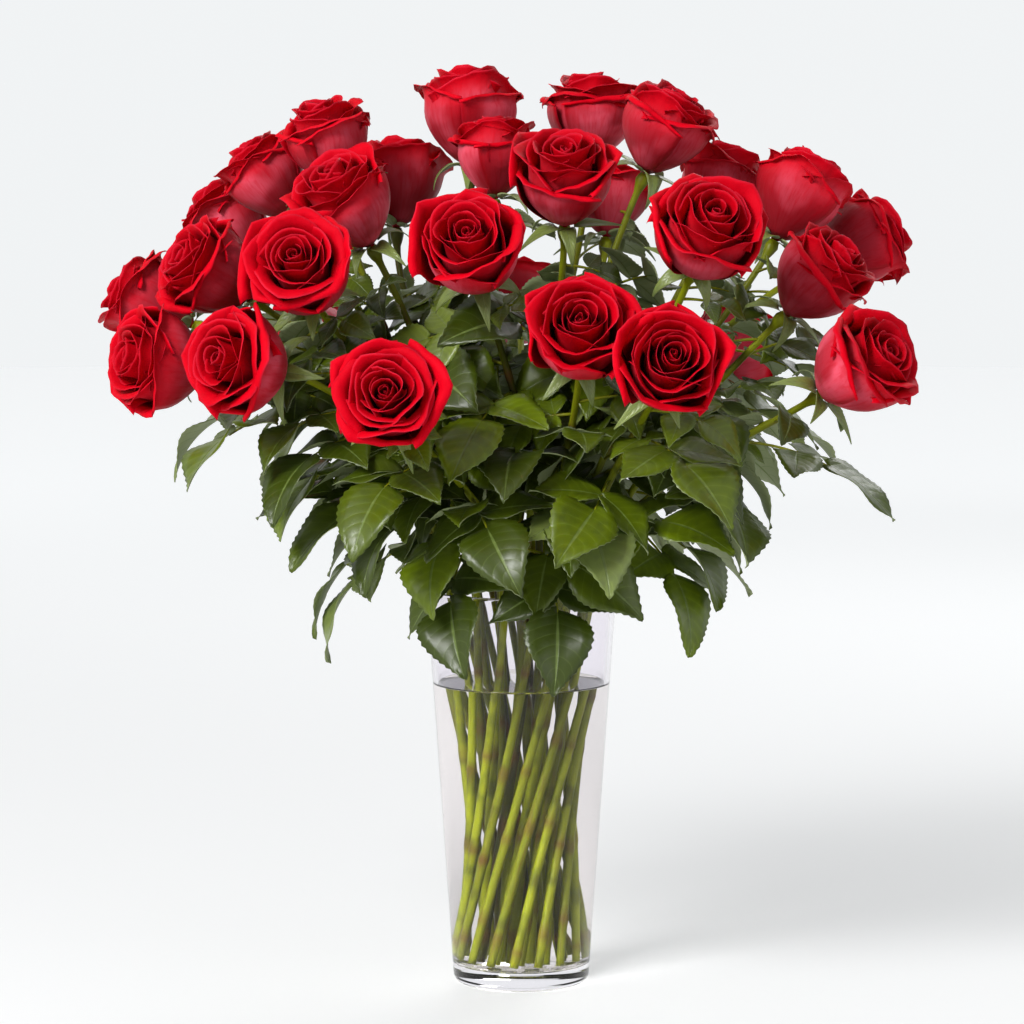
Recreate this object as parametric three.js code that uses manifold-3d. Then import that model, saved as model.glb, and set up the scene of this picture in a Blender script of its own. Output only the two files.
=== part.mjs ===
// Red roses in a tapered glass vase.
// Millimetres, +Z up. The origin is the centre of the vase's underside, so the part
// stands on z = 0. A rose is two pieces: its bloom, and its stem with the leaves that
// grow from it. The vase and the water in it are one piece each.

import * as THREE from 'three';
import { mergeVertices } from 'three/addons/utils/BufferGeometryUtils.js';
import Module from 'manifold-3d';

const wasm = await Module();
wasm.setup();

// ---------------------------------------------------------------- driving dimensions

const GAP = 0.3;             // between pieces that touch

const VASE_HEIGHT = 258;
const VASE_RIM_RADIUS = 62;
const VASE_FOOT_RADIUS = 44;
const VASE_WALL = 3.5;
const VASE_FLOOR = 12;
const VASE_EDGE = 5;         // rounding of the foot's outer edge
const VASE_SIDES = 48;

const WATER_LEVEL = 196;

const STEM_RADIUS = 2.7;
const STEM_SIDES = 5;
const STEM_FOOT_Z = 15;
const STEM_MOUTH_Z = VASE_HEIGHT + 4;
const STEM_STRAIGHT_STEPS = 2;
const STEM_CURVED_STEPS = 7;
const STEM_TWIST = 100;      // degrees round the vase from foot to mouth
const HIP_RADIUS = 4.6;      // the green swelling under a bloom
const HIP_LENGTH = 9;

// The cut ends stand in three rings, the widest heads in the outermost.
const RINGS = [
  { stems: 14, foot: 33, mouth: 48 },
  { stems: 9, foot: 21, mouth: 32 },
  { stems: 6, foot: 10, mouth: 17 },
];

// A bloom's outline from its base to its face: radius as a share of the bloom's
// radius, and height as a share of its length.
const BLOOM_OUTLINE = [
  [0, 0], [0.16, 0], [0.66, 0.13], [0.93, 0.38], [1, 0.66], [0.84, 0.9], [0.42, 1], [0, 1],
];
const BLOOM_SIDES = 10;
const BLOOM_LENGTH = 1.8;    // as a share of its radius

// Each rose: the middle of its bloom, the bloom's radius, the compass angle that it
// faces and how far it leans from upright, both in degrees.
const ROSES = [
  { at: [-125, 10, 545], radius: 31, faces: -140, lean: 15 },
  { at: [-165, 45, 520], radius: 31, faces: 170, lean: 35 },
  { at: [-109, -42, 505], radius: 33, faces: -140, lean: 35 },
  { at: [-81, 82, 517], radius: 31, faces: 75, lean: 10 },
  { at: [-135, -105, 466], radius: 35, faces: -100, lean: 60 },
  { at: [-195, 105, 490], radius: 33, faces: 170, lean: 40 },
  { at: [-196, -35, 462], radius: 33, faces: -150, lean: 60 },
  { at: [-240, 30, 440], radius: 32, faces: 175, lean: 65 },
  { at: [-225, -60, 407], radius: 33, faces: -150, lean: 80 },
  { at: [-170, -118, 410], radius: 34, faces: -130, lean: 80 },
  { at: [-80, -165, 392], radius: 35, faces: -95, lean: 70 },
  { at: [-34, 55, 560], radius: 34, faces: 105, lean: 5 },
  { at: [-30, -125, 478], radius: 34, faces: -100, lean: 55 },
  { at: [-17, -15, 536], radius: 29, faces: 90, lean: 5 },
  { at: [27, -72, 521], radius: 34, faces: -90, lean: 30 },
  { at: [46, 97, 562], radius: 33, faces: 65, lean: 5 },
  { at: [92, 22, 552], radius: 32, faces: -20, lean: 25 },
  { at: [58, 62, 508], radius: 28, faces: 70, lean: 15 },
  { at: [113, -110, 488], radius: 36, faces: -75, lean: 50 },
  { at: [131, 90, 514], radius: 31, faces: 45, lean: 25 },
  { at: [180, 40, 508], radius: 33, faces: 15, lean: 30 },
  { at: [225, 95, 477], radius: 33, faces: 15, lean: 65 },
  { at: [188, -30, 458], radius: 33, faces: -25, lean: 45 },
  { at: [209, -92, 405], radius: 35, faces: -40, lean: 60 },
  { at: [36, -150, 428], radius: 34, faces: -90, lean: 60 },
  { at: [87, -190, 412], radius: 34, faces: -85, lean: 70 },
  { at: [-140, 160, 405], radius: 33, faces: 125, lean: 70 },
  { at: [0, 190, 430], radius: 33, faces: 90, lean: 65 },
  { at: [140, 165, 400], radius: 33, faces: 55, lean: 70 },
];

// A leaf is a stalk with a leaflet at its end and one or two pairs along it.
const LEAF_THICKNESS = 1.2;
const LEAF_STALK_WIDTH = 2.4;
const LEAF_STALK_END = 60;
const END_LEAFLET = { length: 56, width: 40 };
const SIDE_LEAFLETS = [
  { from: 40, length: 46, width: 31, angle: 66 },
  { from: 15, length: 33, width: 22, angle: 76 },
];
// A leaflet's outline on one side: length along it and half its width, as shares.
const LEAFLET_OUTLINE = [[0.42, 1], [1, 0]];

// Leaves grow at these shares of the way from the vase's mouth to the bloom. A leaf
// takes the first of its turns, sizes and slopes at which it touches nothing.
const LEAF_PLACES = [0.2, 0.41, 0.63];
const LEAF_STAGGER = 0.05;   // the places move up or down by this on two stems in three
const LEAF_SIZES = [1, 0.8, 0.62];
const LEAF_SLOPES = [0, -20, 25];
const LEAF_TURNS = [0, 25, -25, 50, -50, 75, -75, 100, -100, 130, -130, 180];
const LEAF_ASIDE = 30;       // a leaf sets off this far to one side of its stem's heading
const LEAF_DROOP = 50;       // degrees from the leaf's base to its tip
const LEAF_ROLL = 45;        // most that a leaf rolls to turn its upper face outwards
const LEAF_CLEARANCE = 1.6;  // kept clear above and below a leaf

const MATERIALS = {
  glass: { color: 0xe9ebf2, roughness: 0.04, metalness: 0, transparent: true, opacity: 0.35 },
  water: { color: 0xdfe6e6, roughness: 0.03, metalness: 0, transparent: true, opacity: 0.3 },
  petal: { color: 0x9c0c1e, roughness: 0.55, metalness: 0 },
  leaf: { color: 0x2f4a22, roughness: 0.45, metalness: 0 },
};

// ------------------------------------------------------------------------- solids

// A closed three.js geometry as a manifold-3d solid, in the frame given by a matrix.
function toSolid(geometry, matrix = new THREE.Matrix4()) {
  const bare = geometry.clone().applyMatrix4(matrix);
  bare.deleteAttribute('normal');
  bare.deleteAttribute('uv');
  const merged = mergeVertices(bare, 1e-4);
  const index = merged.index.array;
  const triangles = [];
  for (let i = 0; i < index.length; i += 3) {
    const [a, b, c] = index.slice(i, i + 3);
    if (a !== b && b !== c && c !== a) triangles.push(a, b, c);
  }
  return new wasm.Manifold(new wasm.Mesh({
    numProp: 3,
    vertProperties: new Float32Array(merged.attributes.position.array),
    triVerts: new Uint32Array(triangles),
  }));
}

function toGeometry(solid) {
  const mesh = solid.getMesh();
  const geometry = new THREE.BufferGeometry();
  geometry.setAttribute('position', new THREE.BufferAttribute(mesh.vertProperties, 3));
  geometry.setIndex(new THREE.BufferAttribute(mesh.triVerts, 1));
  geometry.computeVertexNormals();
  return geometry;
}

function boxesMeet(a, b) {
  const first = a.boundingBox();
  const second = b.boundingBox();
  return [0, 1, 2].every((axis) => first.min[axis] <= second.max[axis]
    && second.min[axis] <= first.max[axis]);
}

function meets(a, b) {
  return boxesMeet(a, b) && !a.intersect(b).isEmpty();
}

// A solid of revolution about +Z from [radius, height] points.
function turned(profile, sides) {
  const points = profile.map(([radius, height]) => new THREE.Vector2(radius, height));
  return new THREE.LatheGeometry(points, sides).rotateX(Math.PI / 2);
}

function named(name, geometry, material) {
  const mesh = new THREE.Mesh(geometry, material);
  mesh.name = name;
  return mesh;
}

const material = Object.fromEntries(Object.entries(MATERIALS)
  .map(([name, look]) => [name, new THREE.MeshStandardMaterial(look)]));

// ---------------------------------------------------------------- vase and water

function vaseOuterRadius(z) {
  return THREE.MathUtils.lerp(VASE_FOOT_RADIUS, VASE_RIM_RADIUS, z / VASE_HEIGHT);
}

function vaseInnerRadius(z) {
  return vaseOuterRadius(z) - VASE_WALL;
}

function vaseGeometry() {
  const edge = [0, 30, 60, 90].map((angle) => {
    const turn = THREE.MathUtils.degToRad(angle);
    return [
      vaseOuterRadius(VASE_EDGE) - VASE_EDGE * (1 - Math.sin(turn)),
      VASE_EDGE * (1 - Math.cos(turn)),
    ];
  });
  const lip = VASE_WALL / 4;
  return turned([
    [0, 0],
    ...edge,
    [vaseOuterRadius(VASE_HEIGHT - lip), VASE_HEIGHT - lip],
    [VASE_RIM_RADIUS - lip, VASE_HEIGHT],
    [vaseInnerRadius(VASE_HEIGHT) + lip, VASE_HEIGHT],
    [vaseInnerRadius(VASE_HEIGHT - lip), VASE_HEIGHT - lip],
    [vaseInnerRadius(VASE_FLOOR + VASE_EDGE), VASE_FLOOR + VASE_EDGE],
    [vaseInnerRadius(VASE_FLOOR) - VASE_EDGE, VASE_FLOOR],
    [0, VASE_FLOOR],
  ], VASE_SIDES);
}

// The water fills the vase to its level, round the stems that stand in it.
function waterGeometry(stems) {
  const bottom = VASE_FLOOR + GAP;
  let water = toSolid(turned([
    [0, bottom],
    [vaseInnerRadius(VASE_FLOOR) - VASE_EDGE - GAP, bottom],
    [vaseInnerRadius(VASE_FLOOR + VASE_EDGE) - GAP, VASE_FLOOR + VASE_EDGE],
    [vaseInnerRadius(WATER_LEVEL) - GAP, WATER_LEVEL],
    [0, WATER_LEVEL],
  ], VASE_SIDES));
  for (const stem of stems) water = water.subtract(toSolid(tube(stem, STEM_RADIUS + GAP)));
  return toGeometry(water);
}

// -------------------------------------------------------------------------- roses

function direction(compass, lean) {
  const turn = THREE.MathUtils.degToRad(compass);
  const tilt = THREE.MathUtils.degToRad(lean);
  return new THREE.Vector3(
    Math.sin(tilt) * Math.cos(turn), Math.sin(tilt) * Math.sin(turn), Math.cos(tilt));
}

function onRing(radius, angle, z) {
  return new THREE.Vector3(radius * Math.cos(angle), radius * Math.sin(angle), z);
}

// Shares the roses out to the rings by how steeply each must spread from the vase's
// mouth, then evenly round each ring in the order of their headings.
function placeInRings(roses) {
  const spread = (rose) => Math.hypot(rose.at[0], rose.at[1]) / (rose.at[2] - VASE_HEIGHT);
  const heading = (rose) => Math.atan2(rose.at[1], rose.at[0]);
  const widestFirst = [...roses].sort((a, b) => spread(b) - spread(a));
  for (const ring of RINGS) {
    const members = widestFirst.splice(0, ring.stems).sort((a, b) => heading(a) - heading(b));
    const step = 2 * Math.PI / ring.stems;
    const offset = members.reduce((sum, rose, slot) => sum + heading(rose) - slot * step, 0)
      / ring.stems;
    members.forEach((rose, slot) => {
      const angle = offset + slot * step;
      const footAngle = angle - THREE.MathUtils.degToRad(STEM_TWIST);
      rose.foot = onRing(ring.foot, footAngle, STEM_FOOT_Z);
      rose.mouth = onRing(ring.mouth, angle, STEM_MOUTH_Z);
    });
  }
}

// The middle line of a stem: straight from its cut end to the vase's mouth, then one
// cubic curve that ends along the bloom's own axis.
class StemPath extends THREE.Curve {
  constructor(foot, mouth, neck, axis) {
    super();
    const third = mouth.distanceTo(neck) / 3;
    const rise = mouth.clone().sub(foot).normalize();
    this.straight = new THREE.LineCurve3(foot, mouth);
    this.curved = new THREE.CubicBezierCurve3(
      mouth,
      mouth.clone().addScaledVector(rise, third),
      neck.clone().addScaledVector(axis, -third),
      neck);
    this.share = STEM_STRAIGHT_STEPS / (STEM_STRAIGHT_STEPS + STEM_CURVED_STEPS);
  }

  getPoint(t, target) {
    return t < this.share
      ? this.straight.getPoint(t / this.share, target)
      : this.curved.getPoint((t - this.share) / (1 - this.share), target);
  }

  getUtoTmapping(u) {
    return u;
  }
}

function tube(path, radius) {
  const section = new THREE.Shape();
  for (let side = 0; side < STEM_SIDES; side += 1) {
    const turn = side * 2 * Math.PI / STEM_SIDES;
    const corner = [radius * Math.cos(turn), radius * Math.sin(turn)];
    if (side === 0) section.moveTo(...corner);
    else section.lineTo(...corner);
  }
  section.closePath();
  return new THREE.ExtrudeGeometry(section, {
    steps: STEM_STRAIGHT_STEPS + STEM_CURVED_STEPS,
    extrudePath: path,
  });
}

function hipGeometry() {
  return turned([
    [0, 0], [STEM_RADIUS * 0.8, 0], [HIP_RADIUS, HIP_LENGTH * 0.55],
    [HIP_RADIUS * 0.8, HIP_LENGTH], [0, HIP_LENGTH],
  ], STEM_SIDES);
}

function bloomGeometry(radius) {
  const length = radius * BLOOM_LENGTH;
  return turned(BLOOM_OUTLINE.map(([out, up]) => [out * radius, up * length]), BLOOM_SIDES);
}

// --------------------------------------------------------------------------- leaves

// The flat outline of a whole leaf, its stalk along +X from the origin.
function leafShape(pairs) {
  const half = LEAF_STALK_WIDTH / 2;
  const side = [[0, half]];
  for (const leaflet of [...SIDE_LEAFLETS.slice(0, pairs)].reverse()) {
    const turn = THREE.MathUtils.degToRad(leaflet.angle);
    const point = (along, across) => [
      leaflet.from + along * Math.cos(turn) - across * Math.sin(turn),
      half + along * Math.sin(turn) + across * Math.cos(turn),
    ];
    const nearEdge = LEAFLET_OUTLINE
      .map(([along, across]) => point(along * leaflet.length, across * leaflet.width / 2));
    const farEdge = LEAFLET_OUTLINE.slice(0, -1).reverse()
      .map(([along, across]) => point(along * leaflet.length, -across * leaflet.width / 2));
    side.push([leaflet.from - half, half], ...nearEdge, ...farEdge);
    side.push([leaflet.from + half, half]);
  }
  side.push([LEAF_STALK_END, half]);
  for (const [along, across] of LEAFLET_OUTLINE) {
    side.push([
      LEAF_STALK_END + along * END_LEAFLET.length,
      across * END_LEAFLET.width / 2,
    ]);
  }
  const mirrored = side.slice(0, -1).reverse().map(([x, y]) => [x, -y]);
  return new THREE.Shape([...side, ...mirrored].map(([x, y]) => new THREE.Vector2(x, y)));
}

// Bends a leaf down along its length: the stalk's line turns by the droop, evenly, from
// the slope at its base to the tip, and each point keeps its height above that line.
function bend(geometry, length, slope) {
  const start = THREE.MathUtils.degToRad(slope);
  const turn = THREE.MathUtils.degToRad(LEAF_DROOP);
  const points = geometry.attributes.position;
  for (let i = 0; i < points.count; i += 1) {
    const share = points.getX(i) / length;
    const angle = start - turn * share;
    const along = length / turn * (Math.sin(start) - Math.sin(angle));
    const up = length / turn * (Math.cos(angle) - Math.cos(start));
    const above = points.getZ(i);
    points.setX(i, along - above * Math.sin(angle));
    points.setZ(i, up + above * Math.cos(angle));
  }
  return geometry;
}

function leafSolid(pairs, size, slope, thickness, place) {
  const length = (LEAF_STALK_END + END_LEAFLET.length) * size;
  const flat = new THREE.ExtrudeGeometry(leafShape(pairs), {
    depth: thickness,
    bevelEnabled: false,
  });
  flat.translate(0, 0, -thickness / 2).scale(size, size, 1);
  return toSolid(bend(flat, length, slope), place);
}

// The leaf that grows at one place on a stem, clear of all the solids in its way, or
// null if none of its turns, sizes and slopes is clear.
function growLeaf(path, share, heading, aside, pairs, obstacles) {
  const at = path.curved.getPoint(share);
  for (const size of LEAF_SIZES) {
    for (const slope of LEAF_SLOPES) {
      for (const turn of LEAF_TURNS) {
        const away = THREE.MathUtils.degToRad(aside + turn);
        const roll = THREE.MathUtils.degToRad(LEAF_ROLL) * Math.sin(away);
        const place = new THREE.Matrix4().makeRotationZ(heading + away)
          .multiply(new THREE.Matrix4().makeRotationX(roll))
          .setPosition(at);
        const room = LEAF_THICKNESS + 2 * LEAF_CLEARANCE;
        const swept = leafSolid(pairs, size, slope, room, place);
        if (!obstacles.some((solid) => meets(swept, solid))) {
          return leafSolid(pairs, size, slope, LEAF_THICKNESS, place);
        }
      }
    }
  }
  return null;
}

// ------------------------------------------------------------------------- assembly

const group = new THREE.Group();
const vase = named('vase', vaseGeometry(), material.glass);
group.add(vase);

placeInRings(ROSES);
const paths = [];
const blooms = [];
const stalks = [];
ROSES.forEach((rose, number) => {
  const name = `rose_${String(number + 1).padStart(2, '0')}`;
  const axis = direction(rose.faces, rose.lean);
  const upright = new THREE.Vector3(0, 0, 1);
  const base = new THREE.Vector3(...rose.at)
    .addScaledVector(axis, -rose.radius * BLOOM_LENGTH / 2);
  const bloom = named(`${name}_bloom`, bloomGeometry(rose.radius), material.petal);
  bloom.position.copy(base);
  bloom.quaternion.setFromUnitVectors(upright, axis);
  bloom.updateMatrix();
  group.add(bloom);
  blooms.push(toSolid(bloom.geometry, bloom.matrix));

  const neck = base.clone().addScaledVector(axis, -GAP);
  const path = new StemPath(rose.foot, rose.mouth, neck, axis);
  const hip = new THREE.Matrix4().makeRotationFromQuaternion(bloom.quaternion)
    .setPosition(neck.clone().addScaledVector(axis, -HIP_LENGTH));
  paths.push(path);
  stalks.push(toSolid(tube(path, STEM_RADIUS)).add(toSolid(hipGeometry(), hip)));
});

group.add(named('water', waterGeometry(paths), material.water));

const glass = toSolid(vase.geometry);
const leaves = ROSES.map(() => []);
LEAF_PLACES.forEach((share, tier) => {
  ROSES.forEach((rose, number) => {
    const others = stalks.filter((stalk, index) => index !== number);
    const obstacles = [glass, ...blooms, ...others, ...leaves.flat()];
    const heading = Math.atan2(rose.at[1], rose.at[0]);
    const aside = (number + tier) % 2 ? LEAF_ASIDE : -LEAF_ASIDE;
    const pairs = (number + tier) % 3 ? 1 : 2;
    const place = share + LEAF_STAGGER * (number % 3 - 1);
    const leaf = growLeaf(paths[number], place, heading, aside, pairs, obstacles);
    if (leaf) leaves[number].push(leaf);
  });
});

ROSES.forEach((rose, number) => {
  const name = `rose_${String(number + 1).padStart(2, '0')}_stem`;
  const whole = leaves[number].reduce((sum, leaf) => sum.add(leaf), stalks[number]);
  group.add(named(name, toGeometry(whole), material.leaf));
});

export default group;
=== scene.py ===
"""Red roses in a tapered glass vase, made as surfaces round a fixed frame.

Metres, +Z up. The vase's underside is at the origin and the bunch's front faces -Y.
Every piece is a surface worked out on a grid of two parameters, or a profile carried
along a path, and stands where the frame's own solids are.
"""

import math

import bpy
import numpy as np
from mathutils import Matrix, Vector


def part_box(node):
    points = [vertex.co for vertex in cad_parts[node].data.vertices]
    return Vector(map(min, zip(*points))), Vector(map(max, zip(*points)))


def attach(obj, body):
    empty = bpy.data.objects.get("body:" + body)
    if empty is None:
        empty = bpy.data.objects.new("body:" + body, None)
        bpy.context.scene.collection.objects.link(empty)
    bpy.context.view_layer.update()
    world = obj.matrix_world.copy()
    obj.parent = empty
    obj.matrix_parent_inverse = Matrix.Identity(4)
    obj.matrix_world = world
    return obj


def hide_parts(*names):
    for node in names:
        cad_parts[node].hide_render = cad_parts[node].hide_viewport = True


bl_info = {
    "name": "Roses in a Vase",
    "version": (1, 0, 0),
    "blender": (4, 5, 0),
    "location": "View3D > Sidebar > Roses",
    "description": "Makes long-stemmed roses, their leaves, a glass vase and the water in it",
    "category": "Add Mesh",
}

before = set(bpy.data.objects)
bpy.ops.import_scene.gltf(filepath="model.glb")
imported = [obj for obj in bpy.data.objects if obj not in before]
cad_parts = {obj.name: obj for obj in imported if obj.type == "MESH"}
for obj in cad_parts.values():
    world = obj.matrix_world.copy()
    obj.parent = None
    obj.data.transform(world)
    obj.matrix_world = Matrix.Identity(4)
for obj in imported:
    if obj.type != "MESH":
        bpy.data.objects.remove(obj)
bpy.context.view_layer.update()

BODY = "root"
MM = 0.001
ROSES = sorted(node[:-len("_bloom")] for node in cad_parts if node.endswith("_bloom"))
GOLDEN_ANGLE = math.radians(137.5)
VASE_SIDES = 128
ROOM_SIDES = 96
TIP_MATCH = 0.3 * MM         # how near a leaf's tip has to be to a corner of its node
OPENNESS_SPREAD = 0.28       # how far a bloom's openness may differ from the average
OUTER_PETALS = 7             # so many of the last petals tell how wide a bloom is
FOLIAGE_SEED = 1000          # keeps the foliage's random draws apart from the blooms'
SEPAL_LENGTH = 0.033
SEPAL_HALF_WIDTH = 0.0050
JOINT_STEP = 0.13            # share of a stem's length from one joint to the next
FLOOR_GLOW = (0.32, 0.70)    # share of the wall's glow, near the vase and far from it
GLOW_REACH = (0.3, 4.0)      # how far from the vase the glow starts and stops growing
LAMP_TARGET = (0, 0, 0.38)
LAMPS = (                    # name, place, size in metres, power in watts
    ("key", (-1.5, -1.8, 1.9), 1.1, 96),
    ("fill", (2.1, -1.5, 0.9), 1.6, 7),
    ("back", (0.8, 1.9, 1.7), 1.2, 18),
)

# What the frame's stems and leaves are made by, in metres, with slopes and turns in
# degrees. Each stem is straight from its foot to the vase's mouth and then one cubic
# curve to its bloom. A leaf's place is a share of that curve.
FOOT_HEIGHT = 0.015
MOUTH_HEIGHT = 0.262
NECK_GAP = 0.0003
BLOOM_LENGTH = 1.8
STEM_LEVELS = (0.03, 0.15)
LEAF_PLACES = (0.2, 0.41, 0.63)
LEAF_STAGGER = 0.05
LEAF_SIZES = (1, 0.8, 0.62)
LEAF_SLOPES = (0, -20, 25)
LEAF_TURNS = (0, 25, -25, 50, -50, 75, -75, 100, -100, 130, -130, 180)
LEAF_ASIDE = 30
LEAF_DROOP = math.radians(50)
LEAF_ROLL = math.radians(45)
LEAF_THICKNESS = 0.0012
STALK_END = 0.060
END_LEAFLET = (0.056, 0.040)
SIDE_LEAFLETS = (            # where each pair joins, length, width, turn in degrees
    (0.040, 0.046, 0.031, 66), (0.015, 0.033, 0.022, 76))

# Leaves that the frame doesn't have: place, pairs of side leaflets, size.
FURTHER_LEAVES = (
    (0.30, 1, 0.72), (0.53, 1, 0.78), (0.68, 2, 0.80), (0.79, 1, 0.68), (0.87, 1, 0.44))


# ------------------------ reading the frame


def unit(vectors):
    """The vectors, each divided by its length."""
    return vectors / np.linalg.norm(vectors, axis=-1, keepdims=True)


def triangles(node):
    """A node's triangles as an array of their three corners."""
    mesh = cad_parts[node].data
    places = np.empty(len(mesh.vertices) * 3)
    mesh.vertices.foreach_get("co", places)
    mesh.calc_loop_triangles()
    order = np.empty(len(mesh.loop_triangles) * 3, dtype=np.int32)
    mesh.loop_triangles.foreach_get("vertices", order)
    return places.reshape(-1, 3)[order].reshape(-1, 3, 3)


def corners(node):
    """Each corner of a node once."""
    return np.unique(triangles(node).reshape(-1, 3).round(6), axis=0)


def bloom_pose(rose):
    """The middle of a bloom's base, its axis and its radius.

    The axis is the direction along which the solid's corners spread most, and the base
    is its narrower end.
    """
    places = corners(f"{rose}_bloom")
    middle = places.mean(axis=0)
    spread, directions = np.linalg.eigh(np.cov((places - middle).T))
    axis = directions[:, np.argmax(spread)]
    along = (places - middle) @ axis
    out = np.linalg.norm(places - middle - along[:, None] * axis, axis=1)
    end = 0.1 * MM
    if out[along < along.min() + end].max() > out[along > along.max() - end].max():
        axis, along = -axis, -along
    return middle + axis * along.min(), axis, out.max()


def section_centre(node, height):
    """The centroid of the outline in which a level plane cuts a node."""
    corner = triangles(node)
    start = corner.reshape(-1, 3)
    end = np.roll(corner, -1, axis=1).reshape(-1, 3)
    crossing = (start[:, 2] < height) != (end[:, 2] < height)
    start, end = start[crossing], end[crossing]
    share = (height - start[:, 2]) / (end[:, 2] - start[:, 2])
    outline = (start + share[:, None] * (end - start))[:, :2]
    middle = outline.mean(axis=0)
    turn = np.arctan2(*(outline - middle).T[::-1])
    outline = outline[np.argsort(turn)] - middle
    following = np.roll(outline, -1, axis=0)
    doubled = outline[:, 0] * following[:, 1] - outline[:, 1] * following[:, 0]
    centroid = ((outline + following) * doubled[:, None]).sum(axis=0) / (3 * doubled.sum())
    return np.append(middle + centroid, height)


class Stem:
    """The middle line of one rose's stem, and the pose of the bloom at its end."""

    def __init__(self, rose):
        self.base, self.axis, self.radius = bloom_pose(rose)
        self.head = self.base + self.axis * self.radius * BLOOM_LENGTH / 2
        low, high = (section_centre(f"{rose}_stem", level) for level in STEM_LEVELS)
        rise = (high - low) / (high - low)[2]
        self.foot = low + rise * (FOOT_HEIGHT - low[2])
        self.mouth = low + rise * (MOUTH_HEIGHT - low[2])
        self.neck = self.base - self.axis * NECK_GAP
        third = np.linalg.norm(self.neck - self.mouth) / 3
        self.controls = np.array([
            self.mouth,
            self.mouth + unit(rise) * third,
            self.neck - self.axis * third,
            self.neck,
        ])

    def curve(self, share):
        """Points of the cubic curve from the mouth, at share 0, to the neck, at share 1."""
        t = np.asarray(share, dtype=float)[..., None]
        weights = ((1 - t) ** 3, 3 * t * (1 - t) ** 2, 3 * t ** 2 * (1 - t), t ** 3)
        return sum(weight * control for weight, control in zip(weights, self.controls))

    def line(self, straight_steps, curved_steps):
        """The whole middle line: even steps up the straight part, then up the curve."""
        rise = np.linspace(0, 1, straight_steps, endpoint=False)[:, None]
        straight = self.foot + rise * (self.mouth - self.foot)
        return np.vstack([straight, self.curve(np.linspace(0, 1, curved_steps))])


def bend(points, length, slope):
    """Bends flat leaf points (along, across, above) down along the leaf.

    The stalk's line turns evenly from its slope at the base through the droop at the
    tip, so it is an arc, and each point keeps its height above that line.
    """
    along, across, above = np.moveaxis(points, -1, 0)
    start = math.radians(slope)
    angle = start - LEAF_DROOP * along / length
    radius = length / LEAF_DROOP
    return np.stack([
        radius * (math.sin(start) - np.sin(angle)) - above * np.sin(angle),
        across,
        radius * (np.cos(angle) - math.cos(start)) + above * np.cos(angle),
    ], axis=-1)


class Leaf:
    """One compound leaf of the frame: where it grows, how it is turned, and its size."""

    def __init__(self, stem, place, pairs, size, slope, away):
        heading = math.atan2(stem.head[1], stem.head[0]) + away
        roll = LEAF_ROLL * math.sin(away)
        turn = np.array([
            [math.cos(heading), -math.sin(heading), 0],
            [math.sin(heading), math.cos(heading), 0],
            [0, 0, 1],
        ])
        tilt = np.array([
            [1, 0, 0],
            [0, math.cos(roll), -math.sin(roll)],
            [0, math.sin(roll), math.cos(roll)],
        ])
        self.turn = turn @ tilt
        self.root = stem.curve(place)
        self.size, self.slope, self.pairs = size, slope, pairs
        self.length = (STALK_END + END_LEAFLET[0]) * size

    def shape(self, points):
        """Flat leaf points, bent and put where the leaf grows."""
        return bend(points, self.length, self.slope) @ self.turn.T + self.root

    def tip(self):
        """The upper corner of the tip of the frame's leaf."""
        return self.shape(np.array([self.length, 0, LEAF_THICKNESS / 2]))


def leaves_of(rose, number, stem):
    """The leaves that the frame's stem carries: of the turns, sizes and slopes that a
    leaf may take at each place, the one whose tip is a corner of the node."""
    places = corners(f"{rose}_stem")
    found = []
    for tier, share in enumerate(LEAF_PLACES):
        place = share + LEAF_STAGGER * (number % 3 - 1)
        aside = LEAF_ASIDE if (number + tier) % 2 else -LEAF_ASIDE
        pairs = 1 if (number + tier) % 3 else 2
        choices = [
            Leaf(stem, place, pairs, size, slope, math.radians(aside + turn))
            for size in LEAF_SIZES for slope in LEAF_SLOPES for turn in LEAF_TURNS
        ]
        tips = np.array([leaf.tip() for leaf in choices])
        miss = np.linalg.norm(tips[:, None] - places[None], axis=2).min(axis=1)
        if miss.min() < TIP_MATCH:
            found.append(choices[int(np.argmin(miss))])
    return found


# ------------------------ making meshes


def smooth(value, low, high):
    """0 below low, 1 above high, and an even S-shaped curve between them."""
    share = np.clip((value - low) / (high - low), 0, 1)
    return share * share * (3 - 2 * share)


def mix(first, second, share):
    """first at share 0, second at share 1, in a straight line between."""
    return first + (second - first) * share


def across(axis):
    """A 3 by 3 turn whose third column is the axis and whose first is level."""
    level = unit(np.cross([0, 0, 1.0], axis) + np.array([1e-9, 0, 0]))
    return np.stack([level, np.cross(axis, level), axis], axis=1)


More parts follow.
